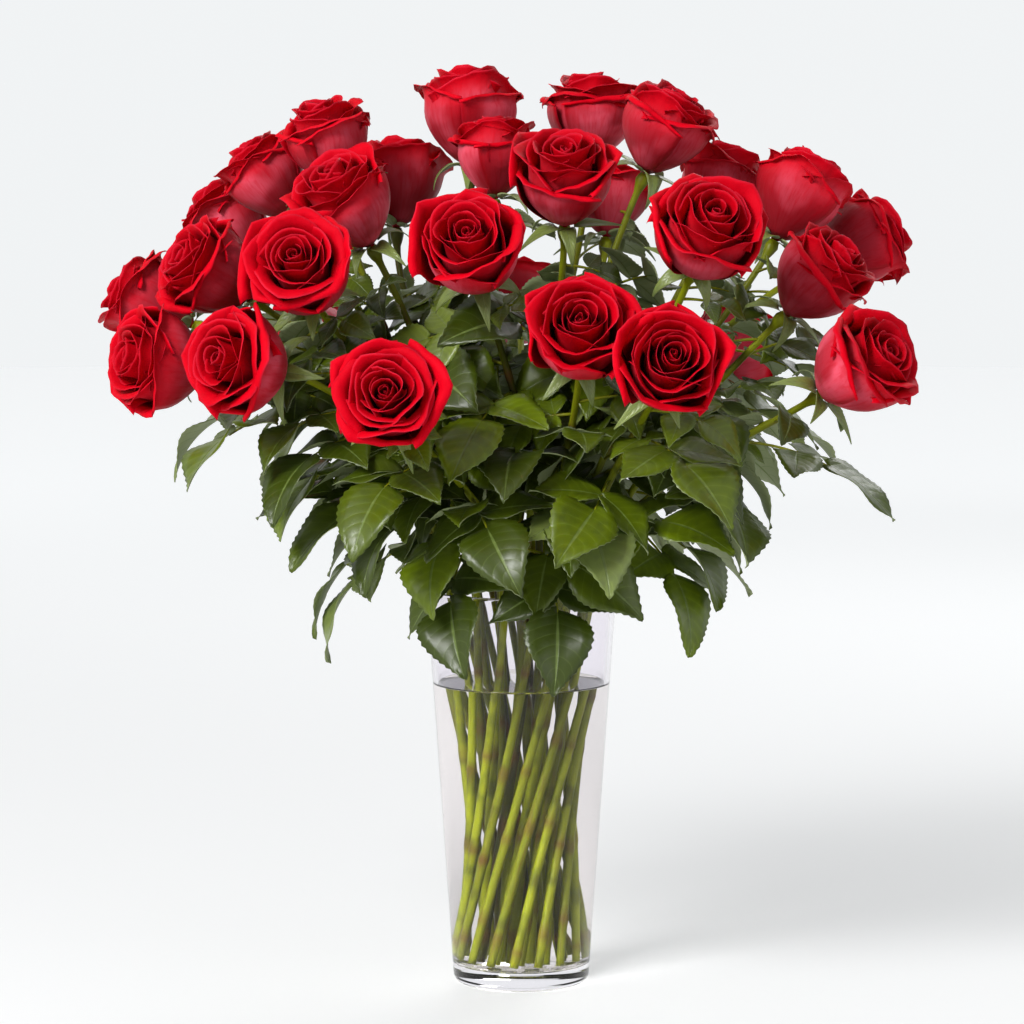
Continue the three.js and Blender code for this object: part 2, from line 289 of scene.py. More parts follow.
class Stock:
    """Vertices, faces and surface values gathered for one piece."""

    def __init__(self):
        self.vertices, self.faces, self.maps, self.values = [], [], [], []
        self.count = 0

    def add(self, vertices, faces, uv, **values):
        """Adds one surface: its vertices, faces as rows of vertex numbers, a (u, v) for
        each vertex, and a number, or one for each vertex, under each name."""
        vertices = np.asarray(vertices, dtype=float).reshape(-1, 3)
        spread = {
            name: np.broadcast_to(np.asarray(value, dtype=float).reshape(-1), len(vertices))
            for name, value in values.items()
        }
        self.faces += [(np.asarray(face) + self.count) for face in faces]
        self.vertices.append(vertices)
        self.maps.append(np.asarray(uv, dtype=float).reshape(-1, 2))
        self.values.append(spread)
        self.count += len(vertices)

    def make(self, name, finish, slot, *nodes):
        """Makes the piece, smooth shaded, riding on the body in place of some nodes."""
        mesh = bpy.data.meshes.new(name)
        faces = [face for group in self.faces for face in group.tolist()]
        mesh.from_pydata(np.concatenate(self.vertices), [], faces)
        order = np.empty(len(mesh.loops), dtype=np.int32)
        mesh.loops.foreach_get("vertex_index", order)
        uv = mesh.uv_layers.new(name="surface")
        uv.data.foreach_set("uv", np.concatenate(self.maps)[order].ravel())
        for value in self.values[0]:
            layer = mesh.attributes.new(value, "FLOAT", "POINT")
            layer.data.foreach_set("value", np.concatenate([v[value] for v in self.values]))
        mesh.polygons.foreach_set("use_smooth", np.ones(len(mesh.polygons), dtype=bool))
        mesh.materials.append(finish)
        mesh.validate()
        piece = bpy.data.objects.new(name, mesh)
        bpy.context.scene.collection.objects.link(piece)
        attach(piece, BODY)
        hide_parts(*nodes)
        return piece


def grid_faces(rows, columns):
    """Quads of a grid of vertices numbered row by row."""
    corner = np.arange((rows - 1) * columns).reshape(rows - 1, columns)[:, :-1].ravel()
    return np.stack([corner, corner + 1, corner + columns + 1, corner + columns], axis=1)


def ring_faces(rows, sides):
    """Quads of a tube whose rings of vertices are numbered ring by ring."""
    row, side = np.meshgrid(np.arange(rows - 1), np.arange(sides), indexing="ij")
    corner = (row * sides + side).ravel()
    beside = (row * sides + (side + 1) % sides).ravel()
    return np.stack([corner, beside, beside + sides, corner + sides], axis=1)


def closed_sheets(stock, points, thickness, **values):
    """Adds a stack of thin closed sheets to a stock.

    points holds a grid of middle points for each sheet. Each point goes half the
    thickness to either side along the normal, which is the cross product of the grid's
    two directions, and a strip joins the two sides round the border. The value "back"
    is 0 on the side that the normal leaves and 1 on the other.
    """
    sheets, rows, columns = points.shape[:3]
    normal = unit(np.cross(np.gradient(points, axis=2), np.gradient(points, axis=1)))
    offset = normal * (np.asarray(thickness) / 2)
    vertices = np.stack([points + offset, points - offset], axis=1)
    side = rows * columns
    front = grid_faces(rows, columns)
    number = np.arange(side).reshape(rows, columns)
    border = np.concatenate([
        number[0, :-1], number[:-1, -1], number[-1, :0:-1], number[:0:-1, 0],
    ])
    following = np.roll(border, -1)
    strip = np.stack([border + side, following + side, following, border], axis=1)
    one = np.concatenate([front, front[:, ::-1] + side, strip])
    starts = np.arange(sheets)[:, None, None] * (2 * side)
    u, v = np.meshgrid(np.linspace(0, 1, columns), np.linspace(0, 1, rows))
    uv = np.broadcast_to(np.stack([u, v], axis=-1), (sheets, 2, rows, columns, 2))
    every = {
        name: np.broadcast_to(value, (sheets, 2, rows, columns))
        for name, value in values.items()
    }
    back = np.broadcast_to(np.array([0.0, 1.0])[None, :, None, None], (sheets, 2, rows, columns))
    stock.add(vertices, [(one + starts).reshape(-1, 4)], uv, back=back, **every)


def tube(stock, line, radii, sides, **values):
    """Adds a closed round tube: a circle of the given radii carried along a line of
    points, square to it, with a fan of triangles at each end."""
    tangent = unit(np.gradient(line, axis=0))
    plane = np.cross(line[-1] - line[0], [0, 0, 1.0])
    if np.linalg.norm(plane) < 1e-6:
        plane = np.array([1.0, 0, 0])
    first = unit(np.cross(tangent, unit(plane)))
    second = np.cross(tangent, first)
    turn = np.linspace(0, 2 * math.pi, sides, endpoint=False)
    radii = np.broadcast_to(radii, len(line))[:, None, None]
    rings = line[:, None] + radii * (
        np.cos(turn)[None, :, None] * first[:, None]
        + np.sin(turn)[None, :, None] * second[:, None])
    rows = len(line)
    body = ring_faces(rows, sides)
    start, end = rows * sides, rows * sides + 1
    edge = np.arange(sides)
    beside = (edge + 1) % sides
    last = (rows - 1) * sides
    bottom = np.stack([beside, edge, np.full(sides, start)], axis=1)
    top = np.stack([edge + last, beside + last, np.full(sides, end)], axis=1)
    vertices = np.concatenate([rings.reshape(-1, 3), line[:1], line[-1:]])
    travel = np.concatenate([[0], np.cumsum(np.linalg.norm(np.diff(line, axis=0), axis=1))])
    u, v = np.meshgrid(turn / (2 * math.pi), travel)
    uv = np.concatenate([np.stack([u, v], axis=-1).reshape(-1, 2), [[0, 0], [0, travel[-1]]]])
    every = {}
    for name, value in values.items():
        rings_value = np.broadcast_to(np.asarray(value, dtype=float).reshape(-1, 1), (rows, sides))
        every[name] = np.concatenate([rings_value.ravel(), rings_value[[0, -1], 0]])
    stock.add(vertices, [body, bottom, top], uv, **every)


def turned(stock, profile, sides):
    """Adds a solid of revolution about the Z axis. The profile's (radius, height) points
    start and end on the axis, where the surface is closed by triangles, and go round
    with the solid on their left."""
    profile = np.asarray(profile)
    turn = np.linspace(0, 2 * math.pi, sides, endpoint=False)
    out, up = profile[1:-1, :1], profile[1:-1, 1:]
    rings = np.stack([out * np.cos(turn), out * np.sin(turn), up + 0 * turn], axis=-1)
    rows = len(out)
    edge = np.arange(sides)
    beside = (edge + 1) % sides
    last = (rows - 1) * sides
    start, end = rows * sides, rows * sides + 1
    bottom = np.stack([beside, edge, np.full(sides, start)], axis=1)
    top = np.stack([edge + last, beside + last, np.full(sides, end)], axis=1)
    poles = [[0, 0, profile[0, 1]], [0, 0, profile[-1, 1]]]
    u, v = np.meshgrid(turn / (2 * math.pi), np.arange(rows) / rows)
    uv = np.concatenate([np.stack([u, v], axis=-1).reshape(-1, 2), [[0, 0], [0, 1]]])
    stock.add(
        np.concatenate([rings.reshape(-1, 3), poles]), [ring_faces(rows, sides), bottom, top], uv)


def dense(profile, step=0.006, guard=0.0002):
    """The same outline with more points: one every step along it, and one a guard's
    length to either side of each corner, so that smooth shading stays at the corners."""
    profile = np.asarray(profile)
    pieces = np.linalg.norm(np.diff(profile, axis=0), axis=1)
    travel = np.concatenate([[0], np.cumsum(pieces)])
    stops = np.concatenate([
        travel, travel[1:] - guard, travel[:-1] + guard, np.arange(0, travel[-1], step)])
    stops = np.unique(stops.clip(0, travel[-1]).round(6))
    return np.stack([np.interp(stops, travel, profile[:, i]) for i in range(2)], axis=-1)


def fillet(before, corner, after, radius, steps=6):
    """Points of a rounded corner between two straight stretches of a profile."""
    before, corner, after = (np.asarray(point, dtype=float) for point in (before, corner, after))
    back, ahead = unit(before - corner), unit(after - corner)
    half = math.acos(float(np.clip(back @ ahead, -1, 1))) / 2
    reach = radius / math.tan(half)
    centre = corner + unit(back + ahead) * radius / math.sin(half)
    first = corner + back * reach - centre
    second = corner + ahead * reach - centre
    angle = math.acos(float(np.clip(unit(first) @ unit(second), -1, 1)))
    share = np.linspace(0, 1, steps)[:, None]
    arc = (np.sin((1 - share) * angle) * first + np.sin(share * angle) * second)
    return centre + arc / math.sin(angle)


# ------------------------ materials


class Value:
    """A number that varies over a surface. Python's operators on it add Math nodes."""

    def __init__(self, finish, socket):
        self.finish, self.socket = finish, socket

    def math(self, operation, *others):
        return self.finish.node(
            "ShaderNodeMath", {"operation": operation}, dict(enumerate((self, *others))))

    def __add__(self, other):
        return self.math("ADD", other)

    __radd__ = __add__

    def __sub__(self, other):
        return self.math("SUBTRACT", other)

    def __rsub__(self, other):
        return (self * -1).math("ADD", other)

    def __mul__(self, other):
        return self.math("MULTIPLY", other)

    __rmul__ = __mul__

    def __pow__(self, other):
        return self.math("POWER", other)

    def ramp(self, low, high):
        """0 where this is below low, 1 above high, smooth between; low may pass high."""
        return self.finish.node(
            "ShaderNodeMapRange", {"interpolation_type": "SMOOTHSTEP"},
            {"Value": self, "From Min": low, "From Max": high, "To Min": 0, "To Max": 1})


class Finish:
    """A material under construction: one Principled shader and what feeds it."""

    def __init__(self, name, **constants):
        self.material = bpy.data.materials.new(name)
        self.material.use_nodes = True
        self.tree = self.material.node_tree
        self.shader = self.tree.nodes["Principled BSDF"]
        for socket, value in constants.items():
            self.shader.inputs[socket.replace("_", " ")].default_value = value

    def node(self, kind, settings=None, inputs=None, output=0):
        """Adds a node of any type: its settings first, then the values or links of its
        sockets."""
        node = self.tree.nodes.new(kind)
        for name, value in (settings or {}).items():
            setattr(node, name, value)
        for name, value in (inputs or {}).items():
            socket = node.inputs[name]
            if isinstance(value, Value):
                self.tree.links.new(value.socket, socket)
            else:
                socket.default_value = value
        return Value(self, node.outputs[output])

    def attribute(self, name):
        return self.node("ShaderNodeAttribute", {"attribute_name": name}, output="Fac")

    def uv(self):
        """The piece's own map as two numbers, u and v."""
        place = self.node("ShaderNodeUVMap", {"uv_map": "surface"})
        split = self.node("ShaderNodeSeparateXYZ", {}, {0: place})
        return split, Value(self, split.socket.node.outputs[1])

    def place(self):
        """Object coordinates, in metres."""
        return self.node("ShaderNodeTexCoord", {}, output="Object")

    def noise(self, vector, scale, detail=2.0, roughness=0.5):
        return self.node(
            "ShaderNodeTexNoise", {},
            {"Vector": vector, "Scale": scale, "Detail": detail, "Roughness": roughness})

    def colours(self, first, second, share):
        """first where share is 0, second where it is 1."""
        node = self.tree.nodes.new("ShaderNodeMix")
        node.data_type = "RGBA"
        for number, value in ((0, share), (6, first), (7, second)):
            socket = node.inputs[number]
            if isinstance(value, Value):
                self.tree.links.new(value.socket, socket)
            else:
                socket.default_value = value if isinstance(value, (int, float)) else (*value, 1)
        return Value(self, node.outputs[2])

    def feed(self, socket, value):
        self.tree.links.new(value.socket, self.shader.inputs[socket])

    def bump(self, height, distance, strength=1.0):
        """Relief: height times the distance, in metres, turns the surface's normal."""
        self.feed("Normal", self.node(
            "ShaderNodeBump", {},
            {"Height": height, "Distance": distance, "Strength": strength}))

    def translucent(self, colour, share):
        """Lets part of the light through to the other side."""
        output = self.tree.nodes["Material Output"]
        through = self.node("ShaderNodeBsdfTranslucent", {}, {"Color": colour})
        both = self.node("ShaderNodeMixShader", {}, {0: share})
        self.tree.links.new(self.shader.outputs[0], both.socket.node.inputs[1])
        self.tree.links.new(through.socket, both.socket.node.inputs[2])
        self.tree.links.new(both.socket, output.inputs["Surface"])


def colour(default, name, description):
    return bpy.props.FloatVectorProperty(
        name=name, description=description, default=default, size=3, min=0, max=1, subtype="COLOR")


def length(default, name, description):
    return bpy.props.FloatProperty(
        name=name, description=description, default=default, min=0, unit="LENGTH")


def share(default, name, description):
    return bpy.props.FloatProperty(
        name=name, description=description, default=default, min=0, max=1, subtype="FACTOR")


# ------------------------ petals


class RoseBloomSettings(bpy.types.PropertyGroup):
    petals: bpy.props.IntProperty(
        name="Petals", description="Petals in each bloom", default=23, min=5, max=60)
    openness: share(0.78, "Openness", "How far the outer petals roll back, on average")
    thickness: length(0.00024, "Thickness", "Thickness of a petal")
    face: colour((0.66, 0.0002, 0.009), "Face", "Colour of a petal's inner face")
    # Painted shade: the dark red that the faces turn to low on each petal and on the inner petals,
    # deep in the bloom; random dark blotches use it as well.
    fold: colour((0.24, 0.0003, 0.003), "Fold", "Colour deep between the petals")
    # Rosy back colour: the backs' own faint tint, and also the colour of the painted satin
    # highlight.
    back: colour((0.78, 0.098, 0.15), "Back", "Colour of a petal's outer face")
    # Painted highlight: the paler colour along each petal's edge.
    rim: colour((0.66, 0.026, 0.06), "Rim", "Colour along a petal's edge")


def petal_finish(settings):
    """Velvety red petals: deep red faces with painted shade low on each petal and on the
    inner petals, backs that are rosy in cloudy patches low on the outer petals, partly
    their own colour and partly a painted satin highlight, slightly paler rims that are a
    painted highlight, and fine veins that run from base to rim."""
    finish = Finish(
        "velvet petal", Specular_IOR_Level=0.10, Specular_Tint=(1.0, 0.30, 0.50, 1),
        Sheen_Weight=0.015, Sheen_Roughness=0.3, Sheen_Tint=(1.0, 0.1, 0.3, 1))
    u, v = finish.uv()
    back = finish.attribute("back")
    depth = finish.attribute("depth")
    tone = finish.attribute("tone")
    stretched = finish.node(
        "ShaderNodeCombineXYZ", {}, {0: u * 30 + depth * 80, 1: v * 4.5, 2: tone * 30})
    veins = finish.noise(stretched, 1.0, 3.0, 0.6)
    blotches = finish.noise(finish.place(), 90.0, 2.0)
    across_rim = (u - 0.5).math("ABSOLUTE") * 2
    rim = v.ramp(0.96, 1.0).math("MAXIMUM", across_rim.ramp(0.97, 1.0) * 0.6)
    # Painted shade: low on each petal, and more on the inner petals, the face turns to the fold
    # colour.
    face = finish.colours(settings.fold, settings.face, v.ramp(0.12, 0.78) * (0.45 + depth * 0.55))
    face = finish.colours(face, settings.fold, blotches.ramp(0.55, 0.8) * 0.35)
    backs = finish.colours(settings.back, settings.face, veins.ramp(0.42, 0.70) * 0.45)
    clouds = finish.noise(finish.place(), 28.0, 2.0).ramp(0.42, 0.62)
    # Painted highlight: a satin sheen painted low on the backs of the outer petals, in cloudy
    # patches, over the backs' own faint rosy tint.
    painted_satin_highlight = (1 - across_rim ** 2) * (1 - v.ramp(0.45, 0.95)) * (0.2 + tone) * (0.3 + clouds)
    base = finish.colours(face, backs, back * depth ** 2 * (0.04 + painted_satin_highlight * 0.88))
    # Painted highlight: a thin paler band along each petal's rim and side edges.
    base = finish.colours(base, settings.rim, rim * (0.15 + tone * 0.35))
    finish.feed("Base Color", base)
    finish.feed("Roughness", 0.62 - back * 0.17 + (veins - 0.5) * 0.14)
    wrinkles = finish.noise(finish.place(), 62.0, 2.0, 0.4)
    finish.bump(veins + wrinkles * 7, 0.0004, 0.6)
    finish.translucent((0.66, 0.0008, 0.010, 1), 0.14)
    return finish.material


def petal_grid(settings, radius, openness, seed, rows=20, columns=19):
    """Middle points of all the petals of a bloom, standing on the origin along +Z.

    The petals are set a golden angle apart, and every measure of a petal follows one
    number, turns: how far round the bloom's spiral it is, from 0 at the heart to 1
    outside. That number also grows a little across each petal, so one edge is tucked
    under its neighbour. Below its belly a petal's line rises as a quarter sine. Above
    it the line is followed in small steps whose slope leans in near the heart and rolls
    out towards the rim of the outer petals, most at their sides, so that the rim
    comes to a corner in the middle. The side edges of the outer petals stand out from
    the petals beneath. The second result is each petal's order, from 0 at the heart.
    """
    rng = np.random.default_rng(seed)
    count = settings.petals
    number = np.arange(count)[:, None, None]
    v = np.linspace(0, 1, rows)[None, :, None] ** 0.9
    u = np.linspace(-1, 1, columns)[None, None, :]
    sides = np.abs(u)

    def vary(amount):
        return np.clip(rng.normal(0, 1, (count, 1, 1)), -1.8, 1.8) * amount

    order = number / (count - 1)
    half = np.radians(mix(165, 72, 1 - (1 - order) ** 2)) * (1 + vary(0.07))
    lap = 0.55 * half * u / (GOLDEN_ANGLE * (count - 1))
    turns = np.clip(order + lap, 0, 1.05)
    angle = number * GOLDEN_ANGLE + vary(0.10) + half * u

    outer = smooth(order, 0.68, 1.0)
    belly_at = 0.5 - 0.09 * outer * rng.uniform(0, 1, (count, 1, 1))
    belly = 0.05 + 0.80 * turns ** 1.22
    below = np.minimum(v / belly_at, 1)
    start = 0.09
    swing = np.sin(below * math.pi / 2) ** mix(1.0, 0.80, turns)
    out = start * (0.5 + 0.5 * below) + (belly - start) * swing
    up = (1.06 - 0.10 * turns) * below

    above = np.maximum(v - belly_at, 0) / (1 - belly_at)
    close = np.radians(15) * np.maximum(1 - turns, 0) ** 0.7
    roll = np.radians(5 + 150 * turns ** 1.7 + 45 * outer) * openness
    roll = roll * (1 + vary(0.32) * (0.4 + 0.6 * outer))
    roll = roll * (mix(0.85, 0.62, outer) + mix(0.22, 0.62, outer) * sides ** 1.3)
    early = mix(2.0, rng.uniform(1.5, 3.3, (count, 1, 1)), outer)
    wave = np.radians(16) * turns * np.sin(math.pi * (u * 1.7 + 2 * vary(1.0)))
    slope = -close * smooth(above, 0, 0.6) + (roll + wave) * above ** early
    arch = 1 - mix(0.12, 0.56, order) * sides ** 2.2
    tilt = 0.10 * np.sin(math.pi * u + vary(2.0)) * order
    reach = 0.48 + 0.24 * smooth(turns, 0.0, 0.35) - 0.05 * turns - 0.12 * outer
    reach = reach * (1 + vary(0.06 + 0.10 * outer))
    reach = reach * (arch + tilt)
    step = np.diff(above, axis=1, prepend=0) * reach
    out = out + np.cumsum(step * np.sin(slope), axis=1)
    up = up + np.cumsum(step * np.cos(slope), axis=1)

    flat = math.radians(34)
    local = np.abs(half * u)
    corner = math.cos(flat) / np.cos(np.minimum(np.abs(local - flat), 1.2))
    out = out * mix(1.0, corner, 0.7 * order ** 1.3 * smooth(v, 0.45, 1.0))
    flare = 0.085 * smooth(order, 0.6, 1.0) * smooth(sides, 0.62, 1.0) * smooth(v, 0.12, 0.6)
    out = out + flare
    crease = np.sin(u * 7 + vary(3.0)) * 0.019 + np.sin(u * 15 + v * 4 + vary(3.0)) * 0.008
    out = out + crease * order * smooth(v, 0.1, 0.9)
    up = up + 0.016 * np.sin(u * 17 + vary(3.0)) * order * smooth(v, 0.8, 1.0)

    heart = radius * 0.05 * (1 - order) ** 2
    drift = rng.uniform(0, 2 * math.pi)
    wide = 1.06 * radius / np.percentile(out[-OUTER_PETALS:, -1], 90)
    tall = radius * mix(2.10, 1.82, openness) / up.max()
    return np.stack([
        wide * out * np.cos(angle) + heart * math.cos(drift),
        wide * out * np.sin(angle) + heart * math.sin(drift),
        tall * up + 0 * angle,
    ], axis=-1), order


class ROSES_OT_blooms(bpy.types.Operator):
    """Make the petals of every bloom"""

    bl_idname = "roses.blooms"
    bl_label = "Blooms"

    def execute(self, context):
        settings = context.scene.rose_blooms
        finish = petal_finish(settings)
        for number, rose in enumerate(ROSES):
            base, axis, radius = bloom_pose(rose)
            rng = np.random.default_rng(number)
            openness = settings.openness + rng.uniform(-OPENNESS_SPREAD, OPENNESS_SPREAD)
            points, order = petal_grid(settings, radius, openness, number)
            points = points @ across(axis).T + base
            tone = rng.uniform(0, 1, (settings.petals, 1, 1, 1))
            stock = Stock()
            closed_sheets(
                stock, points[:, :, ::-1], settings.thickness, depth=order[..., None], tone=tone)
            stock.make(f"{rose}_petals", finish, "petal", f"{rose}_bloom")
        return {"FINISHED"}


# ------------------------ stems and leaves


class RoseFoliageSettings(bpy.types.PropertyGroup):
    stem_radius: length(0.0027, "Stem radius", "Radius of a stem in the vase")
    neck_radius: length(0.0022, "Neck radius", "Radius of a stem under its bloom")
    hip_radius: length(0.0048, "Hip radius", "Radius of the green swelling under a bloom")
    blade: length(0.0004, "Blade", "Thickness of a leaflet")
    dark: colour((0.034, 0.051, 0.0008), "Dark leaf", "Colour of the older leaflets")
    bright: colour((0.20, 0.28, 0.002), "Bright leaf", "Colour of the youngest leaflets")
    under: colour((0.30, 0.35, 0.17), "Underside", "Colour of a leaflet's underside")
    vein: colour((0.16, 0.22, 0.05), "Vein", "Colour of the midrib and veins")
    stem: colour((0.27, 0.31, 0.006), "Stem", "Colour of a fresh stem")
    blush: colour((0.11, 0.030, 0.008), "Blush", "Reddish colour where a stem is scarred")


def leaf_finish(settings):
    """Waxy leaflets: dark to bright green by leaflet, a pale midrib with paired side
    veins that curve towards the tip, quilted between the veins, and a matt pale back."""
    finish = Finish("waxy leaf", Specular_IOR_Level=0.42)
    u, v = finish.uv()
    back = finish.attribute("back")
    tone = finish.attribute("tone")
    out = (u - 0.5).math("ABSOLUTE") * 2
    ribs = (v * 7.5 - out ** 1.3 * 1.9).math("FRACT")
    rib = (ribs - 0.5).math("ABSOLUTE") * 2
    side_vein = rib.ramp(0.86, 1.0)
    midrib = out.ramp(0.07, 0.02)
    quilt = rib * rib
    blotches = finish.noise(finish.place(), 120.0, 3.0)
    top = finish.colours(settings.dark, settings.bright, tone)
    top = finish.colours(top, settings.dark, blotches.ramp(0.45, 0.75) * 0.5)
    top = finish.colours(top, settings.vein, midrib * 0.85)
    top = finish.colours(top, settings.vein, side_vein * 0.22)
    top = finish.colours(top, settings.dark, (1 - quilt) * 0.25)
    under = finish.colours(settings.under, settings.vein, midrib.math("MAXIMUM", side_vein * 0.5))
    top = finish.colours(top, settings.under, finish.attribute("pale"))
    finish.feed("Base Color", finish.colours(top, under, back))
    finish.feed("Roughness", 0.34 + back * 0.28 + (blotches - 0.5) * 0.25)
    finish.bump(0 - quilt * 0.35 - midrib * 0.8 + blotches * 0.5, 0.0004, 0.7)
    finish.translucent((0.20, 0.36, 0.01, 1), 0.16)
    return finish.material


def stem_finish(settings):
    """Green stems with long fine ridges and reddish brown blushes at their scars. Some
    whole stems, picked at random, and cloudy patches are darkened as painted shade.
    """
    finish = Finish("green stem", Specular_IOR_Level=0.2)
    u, v = finish.uv()
    scar = finish.attribute("scar")
    tone = finish.attribute("tone")
    along = finish.node("ShaderNodeCombineXYZ", {}, {0: u * 9, 1: v * 45, 2: tone * 20})
    streaks = finish.noise(along, 1.0, 3.0, 0.55)
    patches = finish.noise(finish.place(), 45.0, 2.0).ramp(0.45, 0.7)
    # Painted shade: whole stems and cloudy patches darken, standing in for the shade on the stems
    # behind.
    painted_shade = (tone ** 1.5).math("MAXIMUM", patches * 0.7)
    green = finish.colours(settings.stem, tuple(c * 0.13 for c in settings.stem), painted_shade)
    green = finish.colours(green, settings.blush, streaks.ramp(0.5, 0.75) * (0.25 + tone * 0.35))
    finish.feed("Base Color", finish.colours(green, settings.blush, scar * 0.85))
    finish.feed("Roughness", 0.42 + (streaks - 0.5) * 0.2)
    finish.bump(streaks, 0.0003, 0.4)
    return finish.material


def leaflet_outline(along):
    """Half the width of a leaflet as a share of its widest, along it from 0 to 1: broad
    below its middle and drawn out to a short point."""
    return np.sin(math.pi * along ** 0.76) ** 0.92 * (1.02 - 0.34 * along ** 3)


def leaflet_grid(length, width, rng, rows=27, columns=7):
    """Flat points (along, across, above) of one leaflet that grows from the origin.

    Each half goes from the midrib to a toothed edge, where every second row stands
    out. The blade is folded up along its midrib, droops towards its tip, and its
    edges wave.
    """
    v = np.linspace(0, 1, rows)[:, None]
    u = np.linspace(-1, 1, columns)[None, :]
    teeth = np.where(np.arange(rows)[:, None] % 2 == 1, 0.045, -0.015) * np.abs(u) ** 3
    half = width / 2 * (leaflet_outline(np.clip(v, 0.002, 0.998)) + teeth * smooth(v, 0.02, 0.2))
    half = np.maximum(half, 0.0003)
    fold, droop, phase = rng.uniform(0.12, 0.34), rng.uniform(0.05, 0.3), rng.uniform(0, 6.3)
    wave = 0.05 * width * np.sin(v * 9 + phase + 1.5 * np.sign(u)) * np.abs(u) ** 2
    sway = rng.uniform(-0.07, 0.07) * length * v ** 2
    along = length * v + 0.0 * u - 0.10 * width * np.abs(u) * (1 - v)
    lift = fold * np.abs(u) * half - droop * length * v ** 2 + wave
    return np.stack([along + 0 * lift, u * half + sway, lift], axis=-1)


def leaflet_places(leaf):
    """Each leaflet of a leaf: where it joins the stalk, its length, width and turn."""
    yield STALK_END * leaf.size, END_LEAFLET[0] * leaf.size, END_LEAFLET[1] * leaf.size, 0
    for start, long, wide, angle in SIDE_LEAFLETS[:leaf.pairs]:
        for hand in (-1, 1):
            yield (
                start * leaf.size, long * leaf.size, wide * leaf.size, hand * math.radians(angle))


def add_leaf(blades, stalks, leaf, rng, blade):
    """Adds one compound leaf: its leaflets to one stock and its stalk to another."""
    youth = rng.uniform(0, 1) ** 2
    pale = 0.55 * smooth(youth, 0.7, 1.0)
    for start, long, wide, angle in leaflet_places(leaf):
        flat = leaflet_grid(long * 0.98, wide * 1.06, rng)
        turn = angle + rng.normal(0, 0.07)
        along, side, above = np.moveaxis(flat, -1, 0)
        along = along + 0.002
        flat = np.stack([
            start + along * math.cos(turn) - side * math.sin(turn),
            along * math.sin(turn) + side * math.cos(turn),
            above,
        ], axis=-1)
        tone = np.clip(youth + rng.normal(0, 0.08), 0, 1)
        closed_sheets(blades, leaf.shape(flat[:, ::-1])[None], blade, tone=tone, pale=pale)
    along = np.linspace(0, STALK_END * leaf.size + 0.003, 9)
    line = leaf.shape(np.stack([along, 0 * along, 0 * along - 0.0004], axis=-1))
    tube(stalks, line, np.linspace(0.0011, 0.0006, 9), 6, scar=0.15, tone=0.3 * youth)


def further_leaves(stem, rng):
    """Smaller leaves between the frame's own, turned any way, up to under the bloom.
    Nothing keeps them clear of their neighbours."""
    return [
        Leaf(
            stem, place + rng.uniform(-0.04, 0.04), pairs, size * rng.uniform(0.9, 1.1),
            rng.uniform(-10, 35), rng.uniform(0, 2 * math.pi))
        for place, pairs, size in FURTHER_LEAVES
    ]


def add_stem(stock, stem, settings, rng):
    """Adds a stem: a tube that thins upwards and swells a little at its joints, which
    are about evenly spaced, then widens into the hip under the bloom."""
    line = stem.line(50, 60)
    travel = np.concatenate([[0], np.cumsum(np.linalg.norm(np.diff(line, axis=0), axis=1))])
    rise = travel / travel[-1]
    joints = np.arange(0.05, 0.95, JOINT_STEP)[:, None]
    joints = joints + rng.uniform(-0.03, 0.03, joints.shape)
    knuckle = np.exp(-((rise - joints) / 0.008) ** 2).max(axis=0)
    radii = mix(settings.stem_radius, settings.neck_radius, rise) * (1 + 0.20 * knuckle)
    scar = np.exp(-((rise - joints) / 0.009) ** 2).max(axis=0) * rng.uniform(0.6, 1)
    left = travel[-1] - travel
    hip = np.exp(-((left - 0.005) / 0.005) ** 2)
    radii = radii + (settings.hip_radius - settings.neck_radius) * hip
    # The tone darkens some whole stems with painted shade.
    tube(stock, line, radii, 10, scar=scar, tone=rng.uniform(0, 1) ** 1.5)


def sepal_grid(settings, rng, rows=14, columns=5):
    """Middle points of the five sepals under a bloom. Each starts at the hip, and its
    line is followed in small steps whose slope swings from level to well past it, so
    the sepal curls down and back towards the stem."""
    v = np.linspace(0, 1, rows)[None, :, None]
    u = np.linspace(-1, 1, columns)[None, None, :]
    fifth = np.arange(5)[:, None, None]
    compass = fifth * 2 * math.pi / 5 + rng.normal(0, 0.12, (5, 1, 1))
    long = SEPAL_LENGTH * rng.uniform(0.8, 1.15, (5, 1, 1))
    first = np.radians(rng.uniform(50, 85, (5, 1, 1)))
    last = np.radians(rng.uniform(95, 190, (5, 1, 1)))
    slope = mix(first, last, v ** 0.8)
    out = settings.hip_radius * 0.75 + np.cumsum(long / rows * np.sin(slope), axis=1)
    up = -0.0005 + np.cumsum(long / rows * np.cos(slope), axis=1)
    bulge = 0.75 + 0.5 * np.sin(math.pi * v ** 0.6)
    half = SEPAL_HALF_WIDTH * (1 - v) ** 0.8 * bulge + 0.0003
    side = u * half
    cup = 0.25 * half * u ** 2
    return np.stack([
        out * np.cos(compass) - side * np.sin(compass),
        out * np.sin(compass) + side * np.cos(compass),
        up + cup,
    ], axis=-1)


